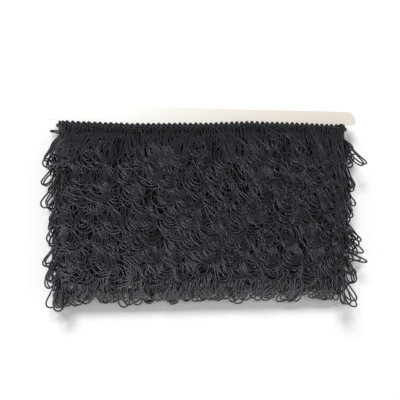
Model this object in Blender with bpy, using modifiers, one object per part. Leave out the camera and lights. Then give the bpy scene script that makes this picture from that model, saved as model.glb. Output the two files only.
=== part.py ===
"""Looped fringe trim wound on a notched white card, lying on its back.

The trim is a narrow chain-stitched heading with loops of cord hanging from its lower edge. It is
wound round the card in eight rows, each row a few turns deep, and the loops of every row fall over
the heading of the row below it, as shingles do. The card's long side runs along X, the loops point
to -Y, and +Z is up from the surface that the wound card lies on.

Each row is one solid. Its wound heading is a flat ring round the card, and the locks of loops grow
out of the ring's lower face, so that they stand apart but for their roots.
"""

import math
import random

import bmesh
import bpy
from mathutils import Vector

MM = 0.001

# Winding card
CARD_LENGTH = 200 * MM
CARD_HEIGHT = 115 * MM
CARD_THICKNESS = 2 * MM
NOTCH_DEPTH = 13.4 * MM
NOTCH_CORNER = 1.2 * MM
LEFT_LIP = 10.5 * MM
RIGHT_LIP = 9.2 * MM
BOTTOM_LIP = 6 * MM
BOTTOM_LIP_REACH = 2 * MM
BOTTOM_LIP_CORNER = 0.9 * MM
OUTLINE_ARC_STEPS = 5

# The two ends of the top lip are cut a little unlike each other
CARD_ENDS = (
    {"side": 1, "corner": 6.3 * MM, "end": 8.4 * MM, "tip": 1.2 * MM, "lip": RIGHT_LIP},
    {"side": -1, "corner": 7.4 * MM, "end": 8.0 * MM, "tip": 0.6 * MM, "lip": LEFT_LIP},
)

# Trim
ROW_COUNT = 8
ROW_PITCH = 12.5 * MM
HEADING_HEIGHT = 6.4 * MM
HEADING_STACK = 4.5 * MM
TRIM_DEPTH = 29 * MM
SCALLOP_PITCH = 3.3 * MM
SCALLOP_DEPTH = 0.9 * MM
CLEARANCE = 0.35 * MM
TURN_STEPS = 8

# Locks: bunches of loops that lie together
LOCK_THICKNESS = 2.6 * MM
FRONT_LOCKS = 17
BACK_LOCKS = 10
LOCK_FILL = 0.90
ROOT_FILL = 0.74
CROWN = 0.62
PITCH_SPREAD = 0.22
LENGTH_SPREAD = 1.4 * MM
BACK_HEM_CUT = 2 * MM

# Sideways drift of the locks towards their tips
SWAY = 2.6 * MM
SWAY_WAVE = 82 * MM
SWAY_CALM_END = 20 * MM
SWAY_POWER = 1.3

# Open loops of cord at the rim
CORD = 1.5 * MM
LOOP_ROOT = 1.6 * MM
LOOP_ROOT_GAP = 1.2 * MM
HEM_LOOPS = 21
HEM_LOOP_WIDTH = 4.6 * MM
END_LOOP_WIDTH = 5.0 * MM
LOOP_ARC_STEPS = 4

# The turns of the heading begin a little beyond the notched ends of the card
NOTCH_HALF = CARD_LENGTH / 2 - NOTCH_DEPTH
TURN_CENTRE = NOTCH_HALF + 0.2 * MM
TURN_INNER = CARD_THICKNESS / 2 + CLEARANCE
TURN_OUTER = TURN_INNER + HEADING_STACK
STRAIGHT = 2 * TURN_CENTRE
TURN = math.pi * TURN_OUTER
LAP = 2 * STRAIGHT + 2 * TURN

# How far a lock's middle stands off the heading's inner face, by depth below the heading's top.
# The locks climb over one heading, then over the next one. The last rows sink to the surface.
FULL_CLIMB = (
    {"depth": 6.4 * MM, "off": 2.6 * MM},
    {"depth": 11.3 * MM, "off": 6.4 * MM},
    {"depth": 17.8 * MM, "off": 6.4 * MM},
    {"depth": 23.0 * MM, "off": 9.7 * MM},
)
FRONT_SEVENTH = (
    {"depth": 6.4 * MM, "off": 2.6 * MM},
    {"depth": 11.3 * MM, "off": 6.4 * MM},
    {"depth": 17.8 * MM, "off": 6.6 * MM},
    {"depth": 23.0 * MM, "off": 6.4 * MM},
    {"depth": 30.0 * MM, "off": 5.4 * MM},
)
FRONT_LAST = (
    {"depth": 6.4 * MM, "off": 2.6 * MM},
    {"depth": 17.0 * MM, "off": 2.4 * MM},
    {"depth": 21.0 * MM, "off": -2.2 * MM},
    {"depth": 25.5 * MM, "off": -7.4 * MM},
    {"depth": 29.0 * MM, "off": -9.2 * MM},
)
ENDS_LAST = (
    {"depth": 6.4 * MM, "off": 2.6 * MM},
    {"depth": 9.5 * MM, "off": 2.9 * MM},
    {"depth": 17.0 * MM, "off": 2.7 * MM},
    {"depth": 29.0 * MM, "off": 1.4 * MM},
)
BACK_SEVENTH = (
    {"depth": 6.4 * MM, "off": 2.6 * MM},
    {"depth": 11.3 * MM, "off": 6.4 * MM},
    {"depth": 16.0 * MM, "off": 6.6 * MM},
    {"depth": 21.5 * MM, "off": 9.7 * MM},
)
BACK_LAST = (
    {"depth": 6.4 * MM, "off": 2.6 * MM},
    {"depth": 10.5 * MM, "off": 3.2 * MM},
    {"depth": 16.0 * MM, "off": 6.2 * MM},
    {"depth": 21.5 * MM, "off": 9.7 * MM},
)

# The card lies so high that the outer faces of the back locks meet the surface
CARD_MIDDLE = TURN_INNER + FULL_CLIMB[-1]["off"] + LOCK_THICKNESS / 2

# Rise of the top heading above a straight line, along the card
HEADING_WAVE = (
    {"x": -87 * MM, "lift": 0.0 * MM},
    {"x": -48 * MM, "lift": -0.8 * MM},
    {"x": 0 * MM, "lift": 0.6 * MM},
    {"x": 27 * MM, "lift": 2.2 * MM},
    {"x": 58 * MM, "lift": 2.0 * MM},
    {"x": 87 * MM, "lift": 1.3 * MM},
)

# A lock keeps its full width over the bends of its climb, and narrows over this rounded tip
FIRST_BEND_WIDTH = 0.95
FRONT_TIP = (
    {"short": 1.9 * MM, "width": 0.80, "thick": 0.85},
    {"short": 0.0 * MM, "width": 0.38, "thick": 0.50},
)
BACK_TIP = (
    {"short": 0.0 * MM, "width": 0.55, "thick": 0.75},
)

# Where locks and open loops leave the turns at the card's ends, as angles from the front face
END_LOCKS = (
    {"angle": 32, "open": False, "width": 4.4 * MM},
    {"angle": 90, "open": True, "width": 4.4 * MM},
    {"angle": 148, "open": False, "width": 4.4 * MM},
)
LAST_END_LOCKS = (
    {"angle": 32, "open": False, "width": 3.4 * MM},
    {"angle": 148, "open": False, "width": 3.4 * MM},
)

# Open loops of neighbouring rows part to either side of their angle
LOOP_STAGGER = 14

# How far the open loops at the ends of each row reach out beyond the locks
END_REACH = (
    {"row": 1, "left": 0.0 * MM, "right": 1.5 * MM},
    {"row": 2, "left": -1.4 * MM, "right": 1.0 * MM},
    {"row": 3, "left": -0.8 * MM, "right": 0.0 * MM},
    {"row": 4, "left": -1.4 * MM, "right": 1.2 * MM},
    {"row": 5, "left": -0.4 * MM, "right": 3.0 * MM},
    {"row": 6, "left": -0.8 * MM, "right": 5.0 * MM},
    {"row": 7, "left": -1.4 * MM, "right": 2.5 * MM},
)


def clear_scene():
    """Remove every object, so that only the part is left."""
    for obj in list(bpy.data.objects):
        bpy.data.objects.remove(obj, do_unlink=True)


def make_material(name, colour, roughness):
    """A plain Principled material."""
    material = bpy.data.materials.new(name)
    material.use_nodes = True
    shader = material.node_tree.nodes["Principled BSDF"]
    shader.inputs["Base Color"].default_value = (*colour, 1.0)
    shader.inputs["Roughness"].default_value = roughness
    shader.inputs["Metallic"].default_value = 0.0
    return material


def read_table(table, key, value, at):
    """Straight-line reading of a table's column at a place."""
    if at <= table[0][key]:
        return table[0][value]
    for low, high in zip(table, table[1:]):
        if at <= high[key]:
            share = (at - low[key]) / (high[key] - low[key])
            return low[value] + share * (high[value] - low[value])
    return table[-1][value]


def fillet(corner, before, after, radius):
    """Points of the arc that rounds one corner of an outline."""
    to_before = (before - corner).normalized()
    to_after = (after - corner).normalized()
    half = to_before.angle(to_after) / 2
    reach = radius / math.tan(half)
    centre = corner + (to_before + to_after).normalized() * (radius / math.sin(half))
    start = corner + to_before * reach - centre
    turn = start.angle_signed(corner + to_after * reach - centre)
    arc = []
    for step in range(OUTLINE_ARC_STEPS + 1):
        angle = turn * step / OUTLINE_ARC_STEPS
        across = start.x * math.cos(angle) + start.y * math.sin(angle)
        up = start.y * math.cos(angle) - start.x * math.sin(angle)
        arc.append(centre + Vector((across, up)))
    return arc


def card_side(end):
    """Corners down one end of the card, with their radii: the lip, the notch and the bottom lip."""
    side, top = end["side"], CARD_HEIGHT / 2
    return [
        (side * CARD_LENGTH / 2, top, end["corner"]),
        (side * CARD_LENGTH / 2, top - end["end"], end["tip"]),
        (side * NOTCH_HALF, top - end["lip"], NOTCH_CORNER),
        (side * NOTCH_HALF, -top + BOTTOM_LIP, NOTCH_CORNER),
        (side * (NOTCH_HALF + BOTTOM_LIP_REACH), -top + BOTTOM_LIP, BOTTOM_LIP_CORNER),
        (side * (NOTCH_HALF + BOTTOM_LIP_REACH), -top, BOTTOM_LIP_CORNER),
    ]


def card_outline():
    """The card's outline: a rectangle with rounded corners and a long notch in each end."""
    right, left = CARD_ENDS
    sides = card_side(right) + list(reversed(card_side(left)))
    corners = [(Vector((x, y)), radius) for x, y, radius in sides]
    points = []
    for place, (corner, radius) in enumerate(corners):
        before = corners[place - 1][0]
        after = corners[(place + 1) % len(corners)][0]
        points += fillet(corner, before, after, radius)
    return points


def make_card(parts, material):
    """The white winding card, cut from flat board."""
    outline = [(place.x, place.y, 0) for place in card_outline()]
    mesh = bpy.data.meshes.new("winding_card")
    mesh.from_pydata(outline, [], [list(range(len(outline)))])
    mesh.materials.append(material)
    card = bpy.data.objects.new("winding_card", mesh)
    card.location.z = CARD_MIDDLE
    board = card.modifiers.new("board", "SOLIDIFY")
    board.thickness = CARD_THICKNESS
    board.offset = 0
    parts.objects.link(card)
    return card


class Lap:
    """A place on the closed path that the heading takes round the card, seen along Y."""

    def __init__(self, travelled):
        travelled %= LAP
        self.curved = False
        if travelled < STRAIGHT:
            self.centre, angle = travelled - TURN_CENTRE, 0.0
        elif travelled < STRAIGHT + TURN:
            self.centre, angle = TURN_CENTRE, (travelled - STRAIGHT) / TURN_OUTER
            self.curved = True
        elif travelled < 2 * STRAIGHT + TURN:
            self.centre, angle = TURN_CENTRE - (travelled - STRAIGHT - TURN), math.pi
        else:
            run = travelled - 2 * STRAIGHT - TURN
            self.centre, angle = -TURN_CENTRE, math.pi + run / TURN_OUTER
            self.curved = True
        self.out = Vector((math.sin(angle), 0, math.cos(angle)))
        self.along = Vector((math.cos(angle), 0, -math.sin(angle)))
        self.front = (1 + math.cos(angle)) / 2
        self.behind = self.front < 0.5

    def point(self, y, off, aside=0.0):
        """A point at a height on the card, off the heading's inner face, and aside on the lap."""
        base = Vector((self.centre, y, CARD_MIDDLE))
        return base + self.out * (TURN_INNER + off) + self.along * aside


def end_place(side, degrees):
    """Distance round the lap of an angle on the right (1) or left (-1) turn, from the front."""
    run = math.radians(degrees) * TURN_OUTER
    return STRAIGHT + run if side > 0 else LAP - run


class Root:
    """A stretch of the heading's lower face that one lock or one open loop hangs from."""

    def __init__(self, middle, pitch, open_loop, side):
        self.middle = middle
        self.pitch = pitch
        self.open = open_loop
        self.side = side
        self.lap = Lap(middle)
        inner, outer = LOOP_ROOT_GAP / 2, LOOP_ROOT_GAP / 2 + LOOP_ROOT
        half = pitch * ROOT_FILL / 2
        spans = [(-outer, -inner), (inner, outer)] if open_loop else [(-half, half)]
        self.spans = [(round(middle + low, 7), round(middle + high, 7)) for low, high in spans]


class Row:
    """One row of the wound trim."""

    def __init__(self, number, dice):
        self.number = number
        self.dice = dice
        self.phase = dice.uniform(0, 2 * math.pi)
        highest = CARD_HEIGHT / 2 - LEFT_LIP - CLEARANCE
        self.top = highest - (number - 1) * ROW_PITCH
        self.last = number == ROW_COUNT
        self.front_climb, self.back_climb = FULL_CLIMB, FULL_CLIMB
        if number == ROW_COUNT - 1:
            self.front_climb, self.back_climb = FRONT_SEVENTH, BACK_SEVENTH
        elif self.last:
            self.front_climb, self.back_climb = FRONT_LAST, BACK_LAST
        self.mesh = bmesh.new()
        self.roots = []

    def heading_top(self, lap):
        """Height of the heading's upper edge. Only the top row has its wave."""
        if self.number > 1:
            return self.top
        return self.top + lap.front * read_table(HEADING_WAVE, "x", "lift", lap.centre)

    def off(self, lap, depth):
        """How far the row's locks stand off the heading's inner face at a depth."""
        if self.last and lap.curved:
            return read_table(ENDS_LAST, "depth", "off", depth)
        ahead = read_table(self.front_climb, "depth", "off", depth)
        behind = read_table(self.back_climb, "depth", "off", depth)
        return lap.front * ahead + (1 - lap.front) * behind

    def bends(self, lap, end):
        """Depths at which a lock or loop bends on its climb, before a given depth."""
        climb = self.back_climb if lap.behind else self.front_climb
        if self.last and lap.curved:
            climb = ENDS_LAST
        return [entry["depth"] for entry in climb[1:] if entry["depth"] < end - CLEARANCE]

    def sway(self, travelled, depth):
        """Sideways drift, which is the same for edges that face each other across a gap."""
        from_end = min(travelled % (STRAIGHT + TURN), STRAIGHT - travelled % (STRAIGHT + TURN))
        calm = min(1.0, max(0.0, from_end / SWAY_CALM_END))
        share = max(0.0, (depth - HEADING_HEIGHT) / (TRIM_DEPTH - HEADING_HEIGHT))
        wave = math.sin(2 * math.pi * travelled / SWAY_WAVE + self.phase)
        return SWAY * calm * wave * share ** SWAY_POWER

    def plan(self):
        """Choose where each lock and open loop is rooted."""
        self.plan_straight(0, HEM_LOOPS if self.last else FRONT_LOCKS, self.last)
        self.plan_straight(STRAIGHT + TURN, BACK_LOCKS, False)
        for lock in LAST_END_LOCKS if self.last else END_LOCKS:
            stagger = LOOP_STAGGER * (-1) ** self.number if lock["open"] else 0
            for side in (1, -1):
                middle = end_place(side, lock["angle"] + stagger)
                self.roots.append(Root(middle, lock["width"], lock["open"], side))
        self.roots.sort(key=lambda root: root.middle)

    def plan_straight(self, start, count, open_loops):
        """Share one straight side out among locks of uneven width."""
        spread = 0.0 if open_loops else PITCH_SPREAD
        shares = [self.dice.uniform(1 - spread, 1 + spread) for _ in range(count)]
        edge = start
        for share in shares:
            pitch = STRAIGHT * share / sum(shares)
            self.roots.append(Root(edge + pitch / 2, pitch, open_loops, 0))
            edge += pitch

    def stations(self):
        """Places round the lap where the ring has a section: root edges, and steps on the turns."""
        spans = [span for root in self.roots for span in root.spans]
        places = {edge for span in spans for edge in span}
        room = 2 * CLEARANCE
        for start in (STRAIGHT, 2 * STRAIGHT + TURN):
            for step in range(TURN_STEPS + 1):
                place = round(start + TURN * step / TURN_STEPS, 7)
                if not any(low - room < place < high + room for low, high in spans):
                    places.add(place)
        return sorted(places)

    def scallops(self, start, end):
        """The upper edge between two stations, with a bend wherever the edge cord turns."""
        if self.number > 1 or start >= STRAIGHT or end > STRAIGHT:
            return []
        step = SCALLOP_PITCH / 2
        bends = []
        for place in range(math.floor(start / step) + 1, math.ceil(end / step)):
            bends.append((place * step, SCALLOP_DEPTH if place % 2 else 0.0))
        return bends

    def ring_section(self, place):
        """Four corners of the heading's section at one place."""
        lap = Lap(place)
        top = self.heading_top(lap)
        low = top - HEADING_HEIGHT
        return {
            "low_in": self.mesh.verts.new(lap.point(low, 0)),
            "low_out": self.mesh.verts.new(lap.point(low, HEADING_STACK)),
            "top_out": self.mesh.verts.new(lap.point(top, HEADING_STACK)),
            "top_in": self.mesh.verts.new(lap.point(top, 0)),
        }

    def build_heading(self):
        """Skin the heading's ring, and return its sections by place. Roots are left open below."""
        places = self.stations()
        sections = {place: self.ring_section(place) for place in places}
        open_starts = {span[0] for root in self.roots for span in root.spans}
        for start, end in zip(places, places[1:] + places[:1]):
            here, there = sections[start], sections[end]
            outer, inner = [here["top_out"]], [here["top_in"]]
            for place, lift in self.scallops(start, end):
                lap = Lap(place)
                top = self.heading_top(lap) + lift
                outer.append(self.mesh.verts.new(lap.point(top, HEADING_STACK)))
                inner.append(self.mesh.verts.new(lap.point(top, 0)))
            outer.append(there["top_out"])
            inner.append(there["top_in"])
            self.mesh.faces.new([here["low_out"], there["low_out"], *reversed(outer)])
            self.mesh.faces.new([there["low_in"], here["low_in"], *inner])
            for left in range(len(outer) - 1):
                right = left + 1
                self.mesh.faces.new([outer[left], outer[right], inner[right], inner[left]])
            if start not in open_starts:
                self.mesh.faces.new(
                    [here["low_in"], there["low_in"], there["low_out"], here["low_out"]]
                )
        return sections

    def join(self, one, other):
        """Skin the four sides between two sections of a strand."""
        for corner in range(4):
            after = (corner + 1) % 4
            self.mesh.faces.new([one[corner], one[after], other[after], other[corner]])

    def loft(self, start, sections, end=None):
        """Skin a strand from its root through its sections, to a closed tip or another root."""
        last = start
        for corners in sections:
            ring = [self.mesh.verts.new(corner) for corner in corners]
            self.join(last, ring)
            last = ring
        if end is None:
            self.mesh.faces.new(last)
        else:
            self.join(last, end)

    def lock_sections(self, root):
        """Sections of a flat lock with a rounded tip, lying on what is under it."""
        lap = root.lap
        flat_back = lap.behind and not lap.curved
        tip = BACK_TIP if flat_back else FRONT_TIP
        length = TRIM_DEPTH + self.dice.uniform(-LENGTH_SPREAD, LENGTH_SPREAD / 2)
        if self.last:
            length -= BACK_HEM_CUT
        bends = self.bends(lap, length - tip[0]["short"])
        places = [(depth, 1.0 if depth > bends[0] else FIRST_BEND_WIDTH, 1.0) for depth in bends]
        places += [(length - end["short"], end["width"], end["thick"]) for end in tip]
        width = root.pitch * (1.0 if lap.curved else LOCK_FILL)
        inner, outer = (CROWN, 1.0) if flat_back else (1.0, CROWN)
        sections = []
        for depth, breadth, thick in places:
            off = self.off(lap, depth)
            low, high = off - LOCK_THICKNESS / 2, off + LOCK_THICKNESS / 2
            thinner = LOCK_THICKNESS * (1 - thick)
            if flat_back:
                low += thinner
            else:
                high -= thinner
            half = width * breadth / 2
            y = self.heading_top(lap) - depth
            corners = ((low, -half * inner), (low, half * inner),
                       (high, half * outer), (high, -half * outer))
            section = []
            for height, aside in corners:
                drift = 0.0 if lap.curved else self.sway(root.middle + aside, depth)
                section.append(lap.point(y, height, aside + drift))
            sections.append(section)
        return sections

    def loop_half_width(self, depth, straight_end, radius):
        """Half the distance between an open loop's two sides at a depth."""
        root_half = (LOOP_ROOT_GAP + LOOP_ROOT) / 2
        share = min(1.0, (depth - HEADING_HEIGHT) / (straight_end - HEADING_HEIGHT))
        return root_half + (radius - root_half) * math.sin(share * math.pi / 2)

    def loop_path(self, root):
        """Depth and offset across of a loop's middle line: down one side, round and up again."""
        width = END_LOOP_WIDTH if root.side else HEM_LOOP_WIDTH
        radius = width * self.dice.uniform(0.88, 1.06) / 2
        length = TRIM_DEPTH + self.dice.uniform(-LENGTH_SPREAD, LENGTH_SPREAD)
        straight_end = length - CORD / 2 - radius
        side = []
        for depth in (*self.bends(root.lap, straight_end), straight_end):
            side.append((depth, -self.loop_half_width(depth, straight_end, radius)))
        arc = []
        for step in range(1, LOOP_ARC_STEPS):
            angle = math.pi * step / LOOP_ARC_STEPS
            arc.append((straight_end + radius * math.sin(angle), -radius * math.cos(angle)))
        return side + arc + [(depth, -across) for depth, across in reversed(side)]

    def loop_sections(self, root):
        """Sections of an open loop of cord. At the ends of the card its plane turns outwards."""
        lap = root.lap
        reach = 0.0
        if root.side:
            reach = END_REACH[self.number - 1]["right" if root.side > 0 else "left"]
        path = self.loop_path(root)
        widest = max(across for _, across in path)
        line = []
        for depth, across in path:
            share = (depth - HEADING_HEIGHT) / (TRIM_DEPTH - HEADING_HEIGHT)
            twist = math.pi / 2 * min(1.0, share * 1.3) if root.side else 0.0
            drift = 0.0 if root.side else self.sway(root.middle + across, depth)
            outward = (across + widest) * math.sin(twist) + reach * share ** SWAY_POWER
            place = lap.point(
                self.heading_top(lap) - depth,
                self.off(lap, depth) + outward,
                across * math.cos(twist) + drift,
            )
            line.append((place, lap.out * math.cos(twist) - lap.along * math.sin(twist)))
        sections = []
        for index, (place, facing) in enumerate(line):
            before = line[max(0, index - 1)][0]
            after = line[min(len(line) - 1, index + 1)][0]
            run = (after - before).normalized()
            out = (facing - run * run.dot(facing)).normalized() * (CORD / 2)
            aside = run.cross(out)
            sections.append([
                place - out + aside,
                place - out - aside,
                place + out - aside,
                place + out + aside,
            ])
        return sections

    def build(self):
        """Make the whole row as one closed mesh."""
        self.plan()
        sections = self.build_heading()
        for root in self.roots:
            ends = []
            for low, high in root.spans:
                here, there = sections[low], sections[high]
                ends.append([here["low_in"], there["low_in"], there["low_out"], here["low_out"]])
            if root.open:
                in_before, in_after, out_after, out_before = ends[1]
                self.loft(
                    ends[0],
                    self.loop_sections(root),
                    [in_after, in_before, out_before, out_after],
                )
            else:
                self.loft(ends[0], self.lock_sections(root))
        bmesh.ops.recalc_face_normals(self.mesh, faces=self.mesh.faces)
        return self.mesh


def make_row(parts, material, number, dice):
    """Build one row of the trim as an object of its own."""
    name = f"fringe_row_{number}"
    built = Row(number, dice).build()
    mesh = bpy.data.meshes.new(name)
    built.to_mesh(mesh)
    built.free()
    mesh.materials.append(material)
    mesh.shade_smooth()
    mesh.set_sharp_from_angle(angle=math.radians(40))
    row = bpy.data.objects.new(name, mesh)
    parts.objects.link(row)
    return row


def centre_on_origin(objects):
    """Move the whole part so that the origin is under the middle of its box, at the surface."""
    bpy.context.view_layer.update()
    corners = [obj.matrix_world @ Vector(corner) for obj in objects for corner in obj.bound_box]
    low = Vector(min(corner[axis] for corner in corners) for axis in range(3))
    high = Vector(max(corner[axis] for corner in corners) for axis in range(3))
    shift = Vector((-(low.x + high.x) / 2, -(low.y + high.y) / 2, -low.z))
    for obj in objects:
        obj.location += shift


def main():
    """Build the card and the eight rows of trim."""
    clear_scene()
    parts = bpy.data.collections.new("wound_fringe_trim")
    bpy.context.scene.collection.children.link(parts)
    white_board = make_material("white_board", (0.86, 0.84, 0.80), 0.6)
    black_cord = make_material("black_cord", (0.012, 0.012, 0.016), 0.65)
    dice = random.Random(11)
    objects = [make_card(parts, white_board)]
    for number in range(1, ROW_COUNT + 1):
        objects.append(make_row(parts, black_cord, number, dice))
    centre_on_origin(objects)


main()
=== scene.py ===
"""Looks of a looped fringe trim that is wound in overlapping rows on a notched white card.

Every loop of cord is laid down one after another, the lowest row first, on a height field that
remembers what lies there already, so that the cords cross over and under each other and pile up as
real ones do. The cords of one row and side are then joined in one mesh.
"""

from __future__ import annotations

import logging
import math
from dataclasses import dataclass
from enum import Enum

import bpy
import numpy as np
from mathutils import Matrix, Vector


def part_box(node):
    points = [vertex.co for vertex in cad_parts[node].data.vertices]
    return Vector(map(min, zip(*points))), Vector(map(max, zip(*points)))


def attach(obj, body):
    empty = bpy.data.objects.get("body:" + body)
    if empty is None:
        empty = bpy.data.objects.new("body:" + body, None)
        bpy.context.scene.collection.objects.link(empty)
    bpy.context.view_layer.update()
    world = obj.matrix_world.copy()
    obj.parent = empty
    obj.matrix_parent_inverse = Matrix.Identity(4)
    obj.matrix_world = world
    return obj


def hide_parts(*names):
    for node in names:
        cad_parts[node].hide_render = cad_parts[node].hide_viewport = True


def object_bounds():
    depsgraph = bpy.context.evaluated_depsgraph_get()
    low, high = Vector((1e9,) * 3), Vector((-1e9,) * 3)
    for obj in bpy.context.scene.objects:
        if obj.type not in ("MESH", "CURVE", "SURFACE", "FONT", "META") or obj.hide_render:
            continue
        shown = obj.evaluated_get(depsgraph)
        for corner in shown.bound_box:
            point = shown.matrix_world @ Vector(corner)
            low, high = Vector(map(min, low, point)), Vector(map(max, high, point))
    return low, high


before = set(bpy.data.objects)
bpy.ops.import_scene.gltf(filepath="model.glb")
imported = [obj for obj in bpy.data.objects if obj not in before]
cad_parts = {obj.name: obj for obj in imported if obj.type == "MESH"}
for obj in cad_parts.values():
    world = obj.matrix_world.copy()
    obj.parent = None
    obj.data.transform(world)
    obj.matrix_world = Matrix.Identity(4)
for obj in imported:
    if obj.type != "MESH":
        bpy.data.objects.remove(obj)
CAD_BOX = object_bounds()

MM = 0.001
CARD_NODE = "winding_card"
ROW_NODE = "fringe_row_{}"
FIELD_MARGIN = 20 * MM
FIELD_CELL = 0.3 * MM
ROW_SEED = 100
LOOSE_SEED = 5
STRAND_POINTS = 12
ARC_ANGLES = np.linspace(0, np.pi, 13)[1:-1]
LOG = logging.getLogger("wound_fringe")


class Side(Enum):
    """A face of the wound card."""

    FRONT = 1
    BACK = -1


class Fall(Enum):
    """What the loops of a row fall over."""

    TWO_ROWS = "the two rows below"
    LAST_ROW = "the last row alone"
    FLOOR = "the floor"


class CordMap(Enum):
    """UV maps of a cord."""

    TWIST = "cord_twist"
    STRIPS = "OFBake"


def hex_to_linear(code: str) -> tuple[float, float, float, float]:
    """Turn an sRGB hex colour into linear red, green and blue.

    Args:
        code: Six hex digits after a hash sign.

    Returns:
        Linear colour with an alpha of one.
    """
    parts = [int(code[place:place + 2], 16) / 255 for place in (1, 3, 5)]
    linear = [
        part / 12.92 if part <= 0.04045 else ((part + 0.055) / 1.055) ** 2.4 for part in parts
    ]
    return (linear[0], linear[1], linear[2], 1.0)


def set_inputs(tree: bpy.types.NodeTree, node: bpy.types.Node, inputs: dict) -> None:
    """Give a shader node its values and incoming links.

    Args:
        tree: Node tree that holds it.
        node: The node.
        inputs: Input name or number, to a value or to the output socket that feeds it.
    """
    for name, value in inputs.items():
        if isinstance(value, bpy.types.NodeSocket):
            tree.links.new(value, node.inputs[name])
        else:
            node.inputs[name].default_value = value


def add_node(tree: bpy.types.NodeTree, kind: str, settings: dict | None = None,
             inputs: dict | None = None) -> bpy.types.Node:
    """Add a shader node with its settings, values and incoming links.

    Args:
        tree: Node tree to add to.
        kind: Blender's name of the node type.
        settings: Attributes to set on the node.
        inputs: Input name or number, to a value or to the output socket that feeds it.

    Returns:
        The new node.
    """
    node = tree.nodes.new(kind)
    for name, value in (settings or {}).items():
        setattr(node, name, value)
    set_inputs(tree, node, inputs or {})
    return node


def add_object(name: str, data: bpy.types.ID) -> bpy.types.Object:
    """Put a mesh, a light or a camera in the scene.

    Args:
        name: Name of the object.
        data: What it shows.

    Returns:
        The object.
    """
    added = bpy.data.objects.new(name, data)
    bpy.context.scene.collection.objects.link(added)
    return added


def plain_material(name: str) -> tuple[bpy.types.Material, bpy.types.NodeTree, bpy.types.Node]:
    """Make a material with a Principled shader and nothing else.

    Args:
        name: Name of the material.

    Returns:
        The material, its node tree and its shader.
    """
    material = bpy.data.materials.new(name)
    material.use_nodes = True
    tree = material.node_tree
    return material, tree, tree.nodes["Principled BSDF"]


@dataclass(frozen=True)
class ViscoseCord:
    """Black viscose yarn, spun and plied into cord.

    Viscose filaments are smooth, so the cord has a soft silky shine along it, and the two plies
    give it slanting bands of light and dark. Part of these bands is painted: the colour is lighter
    on the plies' crests and darker in the grooves between them, a painted shade, mixed with random
    patches of tone.
    """

    deep: str = "#101115"
    worn: str = "#222329"
    glint: str = "#e9ecf3"
    roughness: float = 0.30
    ior: float = 1.53
    specular: float = 0.6
    sheen: float = 0.10
    plies: float = 2.0
    ply_length: float = 1.7 * MM
    ply_depth: float = 0.07 * MM
    ply_wear: float = 0.55

    def build(self) -> bpy.types.Material:
        """Make the cord's material.

        Returns:
            The material.
        """
        material, tree, shader = plain_material("black_viscose_cord")
        run = add_node(tree, "ShaderNodeUVMap", {"uv_map": CordMap.TWIST.value})
        parts = add_node(tree, "ShaderNodeSeparateXYZ", None, {0: run.outputs[0]})
        # The first coordinate is millimetres along the cord and the second is turns round it.
        circle = 2 * math.pi
        round_cord = add_node(
            tree, "ShaderNodeMath", {"operation": "MULTIPLY"},
            {0: parts.outputs[1], 1: circle * self.plies},
        )
        angle = add_node(
            tree, "ShaderNodeMath", {"operation": "MULTIPLY_ADD"},
            {0: parts.outputs[0], 1: circle * MM / self.ply_length, 2: round_cord.outputs[0]},
        )
        plies = add_node(tree, "ShaderNodeMath", {"operation": "COSINE"}, {0: angle.outputs[0]})
        height = add_node(
            tree, "ShaderNodeMapRange", None,
            {"Value": plies.outputs[0], "From Min": -1.0, "From Max": 1.0},
        )
        bump = add_node(
            tree, "ShaderNodeBump", None,
            {"Strength": 0.9, "Distance": self.ply_depth, "Height": height.outputs[0]},
        )
        place = add_node(tree, "ShaderNodeTexCoord")
        patches = add_node(
            tree, "ShaderNodeTexNoise", None,
            {"Vector": place.outputs["Object"], "Scale": 90.0, "Detail": 2.0},
        )
        # Painted shade and light: darker colour in the grooves between the plies, lighter on their
        # crests, plus random patches of tone.
        groove_shade_and_patches = add_node(
            tree, "ShaderNodeMath", {"operation": "MULTIPLY_ADD"},
            {0: height.outputs[0], 1: self.ply_wear, 2: patches.outputs[0]},
        )
        share = add_node(
            tree, "ShaderNodeMapRange", None,
            {"Value": groove_shade_and_patches.outputs[0], "From Min": 0.35, "From Max": 1.15},
        )
        colour = add_node(
            tree, "ShaderNodeMix", {"data_type": "RGBA"},
            {0: share.outputs[0], 6: hex_to_linear(self.deep), 7: hex_to_linear(self.worn)},
        )
        set_inputs(tree, shader, {
            "Base Color": colour.outputs[2], "Normal": bump.outputs[0],
            "Roughness": self.roughness, "IOR": self.ior, "Specular IOR Level": self.specular,
            "Specular Tint": hex_to_linear(self.glint), "Sheen Weight": self.sheen,
            "Sheen Roughness": 0.4,
        })
        return material


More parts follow.
